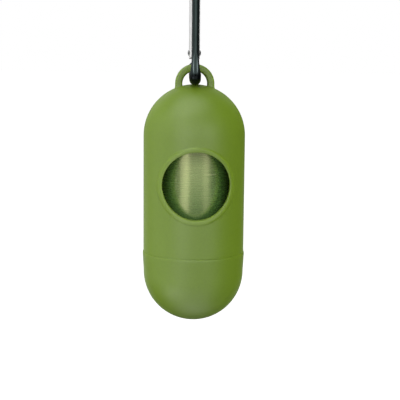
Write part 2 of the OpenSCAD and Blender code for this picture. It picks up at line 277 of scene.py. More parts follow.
def hook_metal(name):
    m, s = new_mat(name)
    blot = noise(m, coords(m, (0.5, 0.5, 0.15)), 1.0, 3.0)
    fine = noise(m, coords(m, (4.0, 4.0, 0.6)), 1.0, 3.0, 0.6)
    base = ramp(m, blot, [(0.3, (0.037, 0.055, 0.052)), (0.7, (0.050, 0.070, 0.067))])
    geo = node(m, "ShaderNodeNewGeometry")
    edge = remap(m, geo.outputs["Pointiness"], 0.0, 0.5, 0.54, 0.66)
    worn = node(m, "ShaderNodeMix", data_type="RGBA")
    worn.inputs[7].default_value = (0.14, 0.16, 0.16, 1)
    link(m, edge, worn.inputs[0])
    link(m, base, worn.inputs[6])
    # painted highlight: the two ridges of the run-out above the lower bend are painted a bright metal tone, standing
    # in for the reflections they catch
    tc = node(m, "ShaderNodeTexCoord")
    mp = node(m, "ShaderNodeMapping")
    mp.inputs["Rotation"].default_value = (0, 0, -YAW)
    mp.inputs["Scale"].default_value = (1000, 1000, 1000)
    link(m, tc.outputs["Object"], mp.inputs["Vector"])
    sep = node(m, "ShaderNodeSeparateXYZ")
    link(m, mp.outputs[0], sep.inputs[0])
    side = node(m, "ShaderNodeMath", operation="ABSOLUTE")
    link(m, sep.outputs["X"], side.inputs[0])
    off = node(m, "ShaderNodeMath", operation="SUBTRACT")
    off.inputs[1].default_value = 0.78
    link(m, side.outputs[0], off.inputs[0])
    off2 = node(m, "ShaderNodeMath", operation="ABSOLUTE")
    link(m, off.outputs[0], off2.inputs[0])
    line = remap(m, off2.outputs[0], 1.0, 0.0, 0.10, 0.42)
    rise = remap(m, sep.outputs["Z"], 0.0, 1.0, -41.8, -39.6)
    fade = remap(m, sep.outputs["Z"], 1.0, 0.0, -38.5, -33.5)
    back = remap(m, sep.outputs["Y"], 1.0, 0.0, -9.6, -8.8)
    ridge_glint_mask = line
    for q in (rise, fade, back):
        mu = node(m, "ShaderNodeMath", operation="MULTIPLY")
        link(m, ridge_glint_mask, mu.inputs[0])
        link(m, q, mu.inputs[1])
        ridge_glint_mask = mu.outputs[0]
    ridge_glint = node(m, "ShaderNodeMix", data_type="RGBA")
    ridge_glint.inputs[7].default_value = (0.190, 0.238, 0.240, 1)
    link(m, ridge_glint_mask, ridge_glint.inputs[0])
    link(m, worn.outputs[2], ridge_glint.inputs[6])
    # painted shade: the lower bend is darkened, standing in for the shade it gets in the gap above the dome
    bend_shade_paint = node(m, "ShaderNodeMix", data_type="RGBA", blend_type="MULTIPLY")
    bend_shade_paint.inputs[7].default_value = (0.30, 0.27, 0.30, 1)
    link(m, remap(m, sep.outputs["Z"], 1.0, 0.0, -42.3, -40.9), bend_shade_paint.inputs[0])
    link(m, ridge_glint.outputs[2], bend_shade_paint.inputs[6])
    link(m, bend_shade_paint.outputs[2], s.inputs["Base Color"])
    s.inputs["Metallic"].default_value = 0.9
    link(m, remap(m, fine, 0.18, 0.25), s.inputs["Roughness"])
    link(m, bump(m, fine, 0.12, 0.02), s.inputs["Normal"])
    return m


def bright_metal(name, color, rough=(0.20, 0.34), stretch=(3.0, 3.0, 0.25), metallic=1.0):
    m, s = new_mat(name)
    fine = noise(m, coords(m, stretch), 1.0, 4.0, 0.6)
    blot = noise(m, coords(m, (0.6, 0.6, 0.3)), 1.0, 2.0)
    base = ramp(m, blot, [(0.3, tuple(0.92 * c for c in color)), (0.7, color)])
    link(m, base, s.inputs["Base Color"])
    s.inputs["Metallic"].default_value = metallic
    link(m, remap(m, fine, *rough), s.inputs["Roughness"])
    link(m, bump(m, fine, 0.15, 0.015), s.inputs["Normal"])
    return m


def cardboard(name):
    m, s = new_mat(name)
    fibre = noise(m, coords(m, (2.5, 2.5, 0.7)), 1.0, 5.0, 0.65)
    blot = noise(m, coords(m, (0.3, 0.3, 0.3)), 1.0, 2.0)
    base = ramp(m, fibre, [(0.25, (0.33, 0.235, 0.145)), (0.55, (0.45, 0.335, 0.215)), (0.8, (0.55, 0.43, 0.30))])
    tone = ramp(m, blot, [(0.3, (0.92, 0.92, 0.92)), (0.7, (1.05, 1.04, 1.02))])
    mix = node(m, "ShaderNodeMix", data_type="RGBA", blend_type="MULTIPLY")
    mix.inputs[0].default_value = 1.0
    link(m, base, mix.inputs[6])
    link(m, tone, mix.inputs[7])
    link(m, mix.outputs[2], s.inputs["Base Color"])
    link(m, remap(m, fibre, 0.75, 0.92), s.inputs["Roughness"])
    link(m, bump(m, fibre, 0.5, 0.06), s.inputs["Normal"])
    return m


M_SHELL = green_plastic("moulded_green_shell", lip_glow_colour=(0.153, 0.252, 0.0072))
M_CAP = green_plastic("moulded_green_cap", 0.985)
M_FILM = bag_film("film_green")
M_HOOK = hook_metal("gunmetal")
M_GATE = bright_metal("bare_aluminium", (0.88, 0.875, 0.87), (0.30, 0.42), metallic=0.45)
M_RIVET = bright_metal("rivet_steel", (0.50, 0.51, 0.51), (0.28, 0.42), (3.0, 3.0, 3.0), 0.9)
M_WIRE = bright_metal("spring_wire", (0.62, 0.62, 0.63), (0.22, 0.34), (2.0, 2.0, 2.0))
M_CARD = cardboard("core_board")


# ---------------------------------------------------------------- mesh helpers
class Build:
    """Collects rings and patches of points in millimetres, then makes one mesh."""

    def __init__(self):
        self.v, self.f = [], []

    def add(self, points):
        start = len(self.v)
        self.v += [tuple(p) for p in points]
        return list(range(start, start + len(points)))

    def strip(self, a, b, closed=True, flip=False):
        n = len(a)
        for i in range(n if closed else n - 1):
            j = (i + 1) % n
            q = (a[i], a[j], b[j], b[i])
            self.f.append(q[::-1] if flip else q)

    def rings(self, rows, closed=True, flip=False):
        for a, b in zip(rows, rows[1:]):
            self.strip(a, b, closed, flip)

    def fan(self, ring, tip, flip=False):
        t = self.add([tip])[0]
        n = len(ring)
        for i in range(n):
            j = (i + 1) % n
            self.f.append((ring[i], t, ring[j]) if flip else (ring[i], ring[j], t))

    def make(self, name, mat, smooth=True, merge=1e-4):
        me = bpy.data.meshes.new(name)
        me.from_pydata([(x * MM, y * MM, z * MM) for x, y, z in self.v], [], self.f)
        bm = bmesh.new()
        bm.from_mesh(me)
        if merge:
            bmesh.ops.remove_doubles(bm, verts=bm.verts, dist=merge * MM)
        bmesh.ops.recalc_face_normals(bm, faces=bm.faces)
        bm.to_mesh(me)
        bm.free()
        me.polygons.foreach_set("use_smooth", [smooth] * len(me.polygons))
        o = bpy.data.objects.new(name, me)
        bpy.context.scene.collection.objects.link(o)
        me.materials.append(mat)
        return o


def turned(b, profile, n=180, closed_bottom=None, closed_top=None):
    """Revolves (r, z) points into rings joined by quads; the ends are left open."""
    rows = []
    for r, z in profile:
        rows.append(b.add([(r * math.sin(2 * math.pi * i / n), -r * math.cos(2 * math.pi * i / n), z) for i in range(n)]))
    b.rings(rows)
    return rows


def arc(cx, cz, r, a0, a1, n):
    return [(cx + r * math.cos(math.radians(a0 + (a1 - a0) * i / n)), cz + r * math.sin(math.radians(a0 + (a1 - a0) * i / n))) for i in range(n + 1)]


def ribs(b, r_root, r_crest, phase, n=40):
    """Helical thread ribs with a rounded crest and run-out ends."""
    turn = 2 * math.pi * THREAD_H / LEAD
    out = 1 if r_crest > r_root else -1
    h = abs(r_crest - r_root)
    wa = 2 * math.pi * RIB_T / LEAD  # the rib's width as an angle
    for k in range(STARTS):
        rows = []
        for i in range(n + 1):
            t = i / n
            a0 = phase + 2 * math.pi * k / STARTS + turn * t + wa / 2
            z0 = RIB_LOW + THREAD_H * t
            grow = min(1.0, 6 * t, 6 * (1 - t))
            grow = math.sin(grow * math.pi / 2)
            pts = []
            for u, v in ((-0.5, -0.35), (-0.46, 0.0), (-0.36, 0.72), (-0.22, 0.97), (0.0, 1.0), (0.22, 0.97), (0.36, 0.72), (0.46, 0.0), (0.5, -0.35)):
                r = r_root + out * (h * v if v < 0 else h * v * grow)
                z = min(max(z0 + u * RIB_T, RIB_LOW), RIB_LOW + THREAD_H)
                pts.append((r * math.cos(a0), r * math.sin(a0), z))
            rows.append(b.add(pts))
        b.rings(rows, closed=True)
        b.f.append(tuple(rows[0]))
        b.f.append(tuple(rows[-1]))


# ---------------------------------------------------------------- upper shell
N_SIDE = 64          # rays across each side of the window patch
STEP = 2.0           # degrees between columns
HALF = N_SIDE * STEP / 2
PATCH_H = DOME_Z - WIN_Z


def rect_boundary():
    """Points round the window patch as (column angle in degrees, z), anticlockwise seen from the front."""
    pts = []
    n = N_SIDE
    for i in range(n):
        pts.append((HALF, -PATCH_H + 2 * PATCH_H * i / n))
    for i in range(n):
        pts.append((HALF - STEP * i, PATCH_H))
    for i in range(n):
        pts.append((-HALF, PATCH_H - 2 * PATCH_H * i / n))
    for i in range(n):
        pts.append((-HALF + STEP * i, -PATCH_H))
    return pts


def on_wall(r, col_deg, z):
    a = math.radians(col_deg)
    return (r * math.sin(a), -r * math.cos(a), z)


RECT = rect_boundary()
THETA = [math.atan2(z / PATCH_H, c / HALF) for c, z in RECT]


def window_patch(b, r_wall, profile, rho_out):
    """The wall from the patch's edge in to the window. profile is [(rho, height over the wall)] from outside in."""
    rows = [b.add([on_wall(r_wall, c, WIN_Z + z) for c, z in RECT])]
    inner = [(math.degrees(math.asin(rho_out * math.cos(t) / r_wall)), rho_out * math.sin(t)) for t in THETA]
    for s in (0.22, 0.42, 0.6, 0.76, 0.89, 1.0):
        rows.append(b.add([on_wall(r_wall, c + s * (ci - c), WIN_Z + z + s * (zi - z)) for (c, z), (ci, zi) in zip(RECT, inner)]))
    for rho, h in profile:
        pts = []
        for t in THETA:
            x = rho * math.cos(t)
            pts.append((x, -math.sqrt((r_wall + h) ** 2 - x * x), WIN_Z + rho * math.sin(t)))
        rows.append(b.add(pts))
    return rows


RIM = [(15.35, 0.0), (15.12, 0.01), (14.98, 0.05), (14.88, 0.12), (14.78, 0.22), (14.66, 0.32), (14.50, 0.40), (14.30, 0.44), (14.05, 0.44), (13.75, 0.42),
       (13.48, 0.38), (13.28, 0.31), (13.13, 0.19), (13.04, 0.0), (13.0, -0.3)]


def build_shell():
    b = Build()
    n = int(360 / STEP)
    half_cols = N_SIDE // 2
    # outside: the window patch, then the hole's wall, then the inside patch
    outer = window_patch(b, SHELL_R, RIM, 15.9)
    inner_profile = [(13.75, 0.0), (13.32, 0.0), (13.12, 0.05), (13.03, 0.16), (13.0, 0.32)]
    inner = window_patch(b, IN_R, inner_profile, 14.6)
    mid = []
    for s in (0.33, 0.66):
        pts = []
        for i, t in enumerate(THETA):
            p, q = Vector(b.v[outer[-1][i]]), Vector(b.v[inner[-1][i]])
            pts.append(tuple(p.lerp(q, s)))
        mid.append(b.add(pts))
    b.rings(outer + mid + inner[::-1])
    zs = [WIN_Z - PATCH_H + 2 * PATCH_H * i / N_SIDE for i in range(N_SIDE + 1)]
    # the rest of the straight wall beside the patch
    cols = [HALF + STEP * i for i in range(n - N_SIDE + 1)]
    for r in (SHELL_R, IN_R):
        rows = [b.add([on_wall(r, c, z) for c in cols]) for z in zs]
        b.rings(rows, closed=False)

    def ring(r, z):
        return b.add([on_wall(r, STEP * i, z) for i in range(n)])

    # dome, outside and inside
    for r in (SHELL_R, IN_R):
        rows = [ring(r * math.cos(math.radians(a)), DOME_Z + r * math.sin(math.radians(a))) for a in [0, 3, 6, 9, 12, 16, 20, 24, 28, 32, 36, 40, 44, 48, 52, 56, 60, 64, 68, 72, 75, 78, 81, 84, 86.5, 88.5]]
        b.rings(rows)
        b.fan(rows[-1], (0, 0, DOME_Z + r))
    # below the patch: wall, seam edge, neck, and up the inside
    low = zs[0]
    e = SEAM_Z + 0.015
    prof = [(SHELL_R, low), (SHELL_R, low - 2.5), (SHELL_R, low - 5), (SHELL_R, e + 1.6), (SHELL_R, e + 0.5), (SHELL_R, e + 0.08), (19.99, e + 0.035), (19.97, e + 0.01), (19.92, e), (19.3, e), (18.4, e),
            (17.75, e), (17.58, e - 0.06), (NECK_RO, e - 0.22), (NECK_RO, e - 0.8), (NECK_RO, NECK_END + 2.5), (NECK_RO, NECK_END + 0.7), (NECK_RO, NECK_END + 0.42), (17.42, NECK_END + 0.15), (17.24, NECK_END + 0.02), (17.0, NECK_END), (16.6, NECK_END),
            (16.36, NECK_END + 0.02), (16.18, NECK_END + 0.15), (NECK_RI, NECK_END + 0.4), (NECK_RI, NECK_END + 1.2), (NECK_RI, SEAM_Z - 2), (NECK_RI, SEAM_Z + 1.7), (NECK_RI + 0.04, SEAM_Z + 2.25), (NECK_RI + 0.5, SEAM_Z + 2.85), (IN_R - 0.45, SEAM_Z + 3.75), (IN_R - 0.04, SEAM_Z + 4.3), (IN_R, SEAM_Z + 4.8), (IN_R, low - 2), (IN_R, low)]
    rows = [ring(r, z) for r, z in prof]
    b.rings(rows)
    return b.make("upper_shell_moulding", M_SHELL)


def build_loop():
    """The loop's bar: half a ring and two legs, with a small fillet where it runs into the dome."""
    b = Build()
    w, t = (LOOP_RO - LOOP_RI) / 2, LOOP_T / 2
    m = (LOOP_RO + LOOP_RI) / 2
    corner = 0.85
    sect = []
    for sx, sy, a0 in ((1, 1, 0), (-1, 1, 90), (-1, -1, 180), (1, -1, 270)):
        for a in range(0, 91, 15):
            aa = math.radians(a0 + a)
            sect.append((sx * (w - corner) + corner * math.cos(aa), sy * (t - corner) + corner * math.sin(aa)))
    path = []
    for i in range(5):
        path.append((m, LOOP_Z - 2.9 + 2.9 * i / 5, 0.0))
    for i in range(49):
        a = math.pi * i / 48
        path.append((m * math.cos(a), LOOP_Z + m * math.sin(a), a))
    for i in range(5):
        path.append((-m, LOOP_Z - 2.9 * (i + 1) / 5, math.pi))
    rows = []
    for px, pz, a in path:
        pts = []
        for u, v in sect:
            x, y, z = px + u * math.cos(a), v, pz + u * math.sin(a)
            d = math.sqrt(x * x + y * y + (z - DOME_Z) ** 2) - SHELL_R
            rf = 0.32
            if z < LOOP_Z + 0.5 and d < rf:
                g = rf - math.sqrt(max(0.0, rf * rf - (rf - max(d, 0.0)) ** 2))
                k = math.hypot(u, v)
                x += g * u / k * math.cos(a)
                y += g * v / k
            pts.append((x, y, z))
        rows.append(b.add(pts))
    b.rings(rows)
    b.f.append(tuple(rows[0]))
    b.f.append(tuple(rows[-1]))
    o = b.make("hanging_loop", M_SHELL)
    return o


def join(objs, name):
    """One object of several evaluated meshes."""
    dg = bpy.context.evaluated_depsgraph_get()
    bm = bmesh.new()
    for o in objs:
        me = bpy.data.meshes.new_from_object(o.evaluated_get(dg))
        bm.from_mesh(me)
    out = bpy.data.meshes.new(name)
    bm.to_mesh(out)
    bm.free()
    for mt in objs[0].data.materials:
        out.materials.append(mt)
    for o in objs:
        bpy.data.objects.remove(o)
    o = bpy.data.objects.new(name, out)
    bpy.context.scene.collection.objects.link(o)
    out.polygons.foreach_set("use_smooth", [True] * len(out.polygons))
    return o


shell = build_shell()
loop = build_loop()
b = Build()
ribs(b, NECK_RO, NECK_RO + RIB_H, 0.0)
thread = b.make("neck_thread", M_SHELL)
shell = join([shell, loop, thread], "shell_moulding")
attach(shell, "shell")
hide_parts("upper_shell")


# ---------------------------------------------------------------- cap
def build_cap():
    b = Build()
    top = SEAM_Z - 0.015
    slope = (CAP_RIM_R - CAP_R) / (CAP_BAND - 0.6)
    prof = [(SKIRT_R, CAP_Z + 3), (SKIRT_R, top - 0.9), (SKIRT_R, top - 0.4), (18.66, top - 0.16), (18.8, top - 0.03), (19.0, top), (19.5, top), (19.92, top), (19.99, top - 0.008), (20.02, top - 0.03), (20.09, top - 0.14),
            (20.17, top - 0.32), (20.23, top - 0.56), (20.262, top - 0.85), (CAP_RIM_R - slope * 0.6, top - 1.25), (CAP_RIM_R - slope * 2.5, top - 3.0), (CAP_RIM_R - slope * 5.0, top - 5.5), (CAP_R + 0.02, CAP_Z + 0.9), (CAP_R, CAP_Z)]
    prof += arc(0, CAP_Z, CAP_R, 0, -88.5, 30)[1:]
    rows = turned(b, prof)
    b.fan(rows[-1], (0, 0, CAP_Z - CAP_R))
    inner = [(SKIRT_R, CAP_Z + 3), (SKIRT_R, CAP_Z + 0.5), (SKIRT_R - 0.03, CAP_Z + 0.12), (SKIRT_R - 0.2, CAP_Z - 0.06), (BOWL_R + 0.15, CAP_Z - 0.1), (BOWL_R, CAP_Z - 0.3)] + arc(0, CAP_Z, BOWL_R, -4, -88.5, 26)
    rows = turned(b, inner)
    b.fan(rows[-1], (0, 0, CAP_Z - BOWL_R))
    return b.make("cap_body", M_CAP)


cap = build_cap()
b = Build()
ribs(b, SKIRT_R, SKIRT_R - RIB_H, math.pi / STARTS)
cap_thread = b.make("cap_thread", M_CAP)
cap = join([cap, cap_thread], "cap_moulding")
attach(cap, "cap")
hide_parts("bottom_cap")


# ---------------------------------------------------------------- bag roll
def film_lines(seed, count, amp):
    """Circumferential creases: (z, half width, height, centre angle, half length)."""
    r = random.Random(seed)
    out = []
    for _ in range(count):
        out.append((r.uniform(0.02, 0.98) * ROLL_W, r.uniform(0.10, 0.32), amp * r.choice((-1, 1)) * r.uniform(0.4, 1.0), r.uniform(-math.pi, math.pi), r.uniform(0.25, 1.6)))
    return out


def build_bag(k):
    """One bag as its wound turns: a sleeve whose ends show the turns, and for the leading bag the creased outside."""
    ro, ri = bag_r(k), (FILM_RI if k == BAGS else bag_r(k + 1) + 0.02)
    lead = k == 1
    b = Build()
    n = 240 if lead else 96
    r = random.Random(100 + k)
    turns = max(3, round((ro - ri) / 0.12))
    z0, z1 = ROLL_LOW, ROLL_LOW + ROLL_W

    def circle(rad, z):
        return [(rad * math.sin(2 * math.pi * i / n), -rad * math.cos(2 * math.pi * i / n), z) for i in range(n)]

    rows = []
    if lead:
        lines = film_lines(3, 16, 0.0022)
        # folds that catch the light a little right of the middle of the window: gentle above, sharp below
        folds = []
        for zc, h in ((48.9, 0.044), (50.6, 0.014), (46.6, 0.018)):
            folds.append((zc, 0.16, h, 0.46, 0.26))
        nz = 300
        lump = [(r.uniform(0, 6.28), r.uniform(0.02, 0.045), r.choice((1, 2, 3)), r.uniform(0.05, 0.18)) for _ in range(5)]
        zr = 0.12 + (ROLL_W - 0.24) * np.arange(nz + 1)[:, None] / nz
        a = 2 * np.pi * np.arange(n)[None, :] / n
        aw = np.where(a <= np.pi, a, a - 2 * np.pi)
        d = np.full((nz + 1, n), -0.05)
        for ph, am, kk, fz in lump:
            d += am * 0.25 * np.sin(kk * a + fz * zr + ph)
        # the outer turns draw in a little below the window's middle
        d -= 0.14 * np.clip((50 - zr) / 18, 0, 1) ** 2 * np.clip((zr - 4) / 20, 0, 1)
        for zc, hw, h, ac, hl in lines:
            dz = (zr - zc - 0.25 * np.sin(1.7 * aw + zc)) / hw
            da = np.abs((aw - ac + np.pi) % (2 * np.pi) - np.pi) / hl
            d += h * np.exp(-dz * dz) * np.clip(1 - da * da, 0, None) ** 2
        for zc, hw, h, ac, hl in folds:
            dz = (zr - zc) / hw
            da = np.abs((aw - ac + np.pi) % (2 * np.pi) - np.pi) / hl
            d += h * np.where(dz > 0, np.exp(-(dz / 3.2) ** 2), np.exp(-(dz / 0.7) ** 2)) * np.clip(1 - da * da, 0, None) ** 2
        # the free end of the film: a step one turn thick at the back
        step = aw - 2.2
        d += np.where((step >= 0) & (step < 0.16), 0.05 * (1 - step / 0.16), 0.0)
        rr = np.minimum(ro + d, ro - 0.005)
        X, Y, Z = rr * np.sin(a), -rr * np.cos(a), z0 + zr + 0 * a
        for j in range(nz + 1):
            rows.append(b.add(list(zip(X[j].tolist(), Y[j].tolist(), Z[j].tolist()))))
    else:
        rows = [b.add(circle(ro - 0.012, z)) for z in (z0 + 0.1, z0 + 2, z0 + 20, z0 + 40, z1 - 2, z1 - 0.1)]
    # ends: shallow grooves between the turns, each turn's edge at its own height
    def end(zs, sign):
        out = []
        for t in range(turns):
            a, c = ro - (ro - ri) * t / turns, ro - (ro - ri) * (t + 1) / turns
            lift = r.uniform(-0.06, 0.10)
            for rad, dz in ((a - 0.18 * (a - c), 0.0), (a - 0.40 * (a - c), 0.10 + lift), (a - 0.70 * (a - c), 0.10 + lift), (a - 0.95 * (a - c), -0.04)):
                out.append(b.add(circle(rad, zs + sign * min(max(dz - 0.12, -0.25), 0.0))))
        return out
    top = end(z1, 1)
    bottom = end(z0, -1)
    rows = bottom[::-1] + rows + top
    inner = [b.add(circle(ri, z)) for z in (z1 - 0.3, z1 - 20, z0 + 20, z0 + 0.3)]
    rows = rows + inner
    b.rings(rows)
    b.strip(rows[-1], rows[0])
    o = b.make(f"wound_bag_{k:02d}", M_FILM)
    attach(o, "bags")
    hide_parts(f"bag_{k:02d}")
    return o


for k in range(1, BAGS + 1):
    build_bag(k)


def build_core():
    """Cardboard tube with softened ends and a helical ply seam along its inside."""
    b = Build()
    n, nz = 128, 90
    z0, z1 = ROLL_LOW + 0.2, ROLL_LOW + ROLL_W - 0.2
    ri = CORE_R - CORE_WALL

    def circ(rad, z, seam=False):
        pts = []
        for i in range(n):
            a = 2 * math.pi * i / n
            rr = rad
            if seam:
                ph = (a / (2 * math.pi) - (z - z0) / 34.0) % 1.0
                if ph < 0.035 or ph > 0.965:
                    q = 1 - min(ph, 1 - ph) / 0.035
                    rr += 0.10 * q
            pts.append((rr * math.sin(a), -rr * math.cos(a), z))
        return b.add(pts)

    rows = [circ(CORE_R - 0.02, z0 + 0.3), circ(CORE_R - 0.02, (z0 + z1) / 2), circ(CORE_R - 0.02, z1 - 0.3), circ(CORE_R - 0.12, z1 - 0.08), circ(CORE_R - 0.3, z1), circ(CORE_R - 0.55, z1 - 0.05), circ(ri + 0.3, z1), circ(ri + 0.12, z1 - 0.08)]
    rows += [circ(ri, z1 - 0.3 - (z1 - z0 - 0.6) * j / nz, True) for j in range(nz + 1)]
    rows += [circ(ri + 0.12, z0 + 0.08), circ(ri + 0.3, z0), circ(CORE_R - 0.55, z0 + 0.05), circ(CORE_R - 0.3, z0), circ(CORE_R - 0.12, z0 + 0.08)]
    b.rings(rows)
    b.strip(rows[-1], rows[0])
    return b.make("core_tube", M_CARD)


core = build_core()
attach(core, "roll_carrier")
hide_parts("roll_core")


# ---------------------------------------------------------------- hook frame
def hook_path():
    """Centre line (y, z) from under the gate, round the bottom, up the back, and over to the nose."""
    pts = []

    def line(p, q, n):
        for i in range(1, n + 1):
            pts.append((p[0] + (q[0] - p[0]) * i / n, p[1] + (q[1] - p[1]) * i / n))

    def bend(cy, cz, r, a0, a1, n):
        for i in range(1, n + 1):
            a = a0 + (a1 - a0) * i / n
            pts.append((cy + r * math.cos(a), cz + r * math.sin(a)))

    def half(sag):
        pts.clear()
        pts.append((GATE_Y, TAIL_Z))
        bend(GATE_Y - NOSE_R, TAIL_Z, NOSE_R, 0.0, BOW_A - math.pi / 2, 22)
        line((BEND_Y, BEND_Z), (SLOPE_Y, SLOPE_Z), 8)
        bend(BOW_Y, BAR_LOW + BOW_R, BOW_R, BOW_A - math.pi / 2, -math.pi / 2, 8)
        if sag:
            fall = (KNEE_Y - KNEE_R * math.sin(sag), BAR_LOW - KNEE_R * (1 - math.cos(sag)))
            run = (fall[0] + SPINE_Y - BACK_R * (1 + math.sin(sag))) / math.cos(sag)
            back_z = fall[1] + BACK_R * math.cos(sag) - run * math.sin(sag)
            line((BOW_Y, BAR_LOW), (KNEE_Y, BAR_LOW), 3)
            bend(KNEE_Y, BAR_LOW - KNEE_R, KNEE_R, math.pi / 2, math.pi / 2 + sag, 5)
            line(fall, (fall[0] - run * math.cos(sag), fall[1] - run * math.sin(sag)), 2)
        else:
            back_z = BAR_LOW + BACK_R
            line((BOW_Y, BAR_LOW), (-SPINE_Y + BACK_R, BAR_LOW), 5)
        bend(-SPINE_Y + BACK_R, back_z, BACK_R, sag - math.pi / 2, -math.pi, 18)
        line((-SPINE_Y, back_z), (-SPINE_Y, MID_Z), 22)
        return list(pts)

    low, high = half(SAG_A), half(0.0)
    return low + [(y, 2 * MID_Z - z) for y, z in high[:-1]][::-1]


def build_hook():
    b = Build()
    path = hook_path()
    low = BAR_LOW + 6.4
    high = 2 * MID_Z - low
    rows = []
    m = 96
    for i, (y, z) in enumerate(path):
        a, c = path[max(i - 1, 0)], path[min(i + 1, len(path) - 1)]
        ty, tz = c[0] - a[0], c[1] - a[1]
        k = math.hypot(ty, tz)
        ty, tz = ty / k, tz / k
        ny, nz = tz, -ty
        pts = []
        for j in range(m):
            t = 2 * math.pi * j / m
            u, x = BAR_R * math.cos(t), BAR_R * math.sin(t)
            # the back is squeezed to an oval, which runs out to the round bar at the bends;
            # the press leaves a shallow hollow between two soft ridges on the run-out
            if y < -5.2:
                oz = z - BAR_R * nz
                q = min(1.0, max((low - oz) / 5.4, (oz - high) / 5.4, 0.0))
                away = max(low + 3.2 - oz, oz - (high - 3.2))
                f = max(0.0, min(1.0, away / 3.0)) * max(0.0, min(1.0, (8.3 - away) / 3.6))
                f = f * f * (3 - 2 * f)
                hw = SPINE_T / 2 + (BAR_R - SPINE_T / 2) * q ** 1.15
                power = 2.0 + 1.3 * f
                x = hw * math.sin(t)
                u = math.copysign(BAR_R * (1 - abs(math.sin(t)) ** power) ** (1 / power), math.cos(t))
                if u < 0:
                    u += 0.13 * f * math.exp(-(x / 0.42) ** 2)
            py, pz = y + u * ny, z + u * nz
            # the tail narrows to a cone under the gate
            if y > 8.0 and z < MID_Z:
                away = max(0.0, pz - (TAIL_Z - 1.97))
                lim = max(0.85, 2.8 - away)
                rad = math.hypot(x, py - GATE_Y)
                if rad > lim:
                    x, py = x * lim / rad, GATE_Y + (py - GATE_Y) * lim / rad
            pts.append((x, py, pz))
        rows.append(b.add(pts))
    # rounded ends
    for ring, end in ((rows[0], 0), (rows[-1], -1)):
        y, z = path[end]
        out = 1 if end == 0 else -1
        prev = ring
        steps = ((0.9, 0.0), (0.6, 0.0), (0.3, 0.0)) if end == 0 else ((0.96, 0.07), (0.88, 0.19), (0.77, 0.31), (0.66, 0.38), (0.5, 0.40), (0.25, 0.40))
        for f, dz in steps:
            nxt = b.add([(b.v[i][0] * f, y + (b.v[i][1] - y) * f, z + out * dz) for i in ring])
            b.strip(prev, nxt)
            prev = nxt
        b.fan(prev, (0, y, z + out * steps[-1][1]))
    b.rings(rows)
    return b.make("hook_bar", M_HOOK)


def plate(name, outline, half, mat, bevel=0.14):
    """A flat tongue: a (y, z) outline, half a thickness each side of x = 0, with rounded edges."""
    me = bpy.data.meshes.new(name)
    bm = bmesh.new()
    vs = [bm.verts.new((-half * MM, y * MM, z * MM)) for y, z in outline]
    f = bm.faces.new(vs)
    r = bmesh.ops.extrude_face_region(bm, geom=[f])
    bmesh.ops.translate(bm, vec=(2 * half * MM, 0, 0), verts=[v for v in r["geom"] if isinstance(v, bmesh.types.BMVert)])
    bmesh.ops.recalc_face_normals(bm, faces=bm.faces)
    flat = [e for e in bm.edges if len(e.link_faces) == 2 and e.calc_face_angle(0) > 0.9]
    bmesh.ops.bevel(bm, geom=flat, offset=bevel * MM, segments=2, profile=0.5, affect="EDGES", clamp_overlap=True)
    bm.to_mesh(me)
    bm.free()
    me.materials.append(mat)
    o = bpy.data.objects.new(name, me)
    bpy.context.scene.collection.objects.link(o)
    return o


def tongues():
    top = RIVET_Z + 1.5
    lower = [(GATE_Y - 1.5, TAIL_Z - 1.7), (GATE_Y + 1.5, TAIL_Z - 1.7), (GATE_Y + 1.5, top), (GATE_Y - 1.5, top)]
    p = PIN_Z
    notch = [(GATE_Y - 1.6, p - 0.8)] + [(GATE_Y + 0.8 * math.sin(math.radians(a)), p - 0.8 * math.cos(math.radians(a))) for a in range(0, 181, 15)] + [(GATE_Y - 1.6, p + 0.8)]
    upper = [(GATE_Y - 1.6, p - 1.6)] + notch + [(GATE_Y - 1.6, HEAD_Z + 0.4), (GATE_Y + 1.6, HEAD_Z + 0.4), (GATE_Y + 1.6, p - 1.6)]
    low = plate("lower_tongue", lower, 0.75, M_HOOK)
    # the rivet's hole
    me = bpy.data.meshes.new("rivet_hole")
    n, r = 40, 0.65
    vs = [(x * MM, (GATE_Y + r * math.sin(2 * math.pi * i / n)) * MM, (RIVET_Z + r * math.cos(2 * math.pi * i / n)) * MM) for x in (-2, 2) for i in range(n)]
    fs = [(i, (i + 1) % n, n + (i + 1) % n, n + i) for i in range(n)] + [tuple(range(n))[::-1], tuple(range(n, 2 * n))]
    me.from_pydata(vs, [], fs)
    bm = bmesh.new()
    bm.from_mesh(me)
    bmesh.ops.recalc_face_normals(bm, faces=bm.faces)
    bm.to_mesh(me)
    bm.free()
    cut = bpy.data.objects.new("rivet_hole", me)
    bpy.context.scene.collection.objects.link(cut)
    md = low.modifiers.new("hole", "BOOLEAN")
    md.operation, md.solver, md.object = "DIFFERENCE", "EXACT", cut
    done = bpy.data.meshes.new_from_object(low.evaluated_get(bpy.context.evaluated_depsgraph_get()))
    low.modifiers.clear()
    low.data = done
    bpy.data.objects.remove(cut)
    return [low, plate("upper_tongue", upper, 0.7, M_HOOK)]


hook = join([build_hook()] + tongues(), "hook_bar_and_tongues")
for v in hook.data.vertices:
    x, y = v.co.x, v.co.y
    v.co.x, v.co.y = x * math.cos(YAW) - y * math.sin(YAW), x * math.sin(YAW) + y * math.cos(YAW)
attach(hook, "hook")
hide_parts("carabiner_frame")


# ---------------------------------------------------------------- CAD nodes that keep their shape
def dress(name, mat, bevel=0.0):
    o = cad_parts[name]
    o.data.materials.clear()
    o.data.materials.append(mat)
    for p in o.data.polygons:
        p.material_index = 0
    if bevel:
        md = o.modifiers.new("edge", "BEVEL")
        md.width, md.segments, md.limit_method, md.angle_limit = bevel * MM, 2, "ANGLE", math.radians(40)
        md.harden_normals = True
    return o


dress("carabiner_gate", M_GATE, 0.08)
dress("gate_rivet", M_RIVET, 0.06)
dress("latch_pin", M_RIVET, 0.06)
dress("gate_spring", M_WIRE)
dress("spring_plunger", M_WIRE, 0.05)


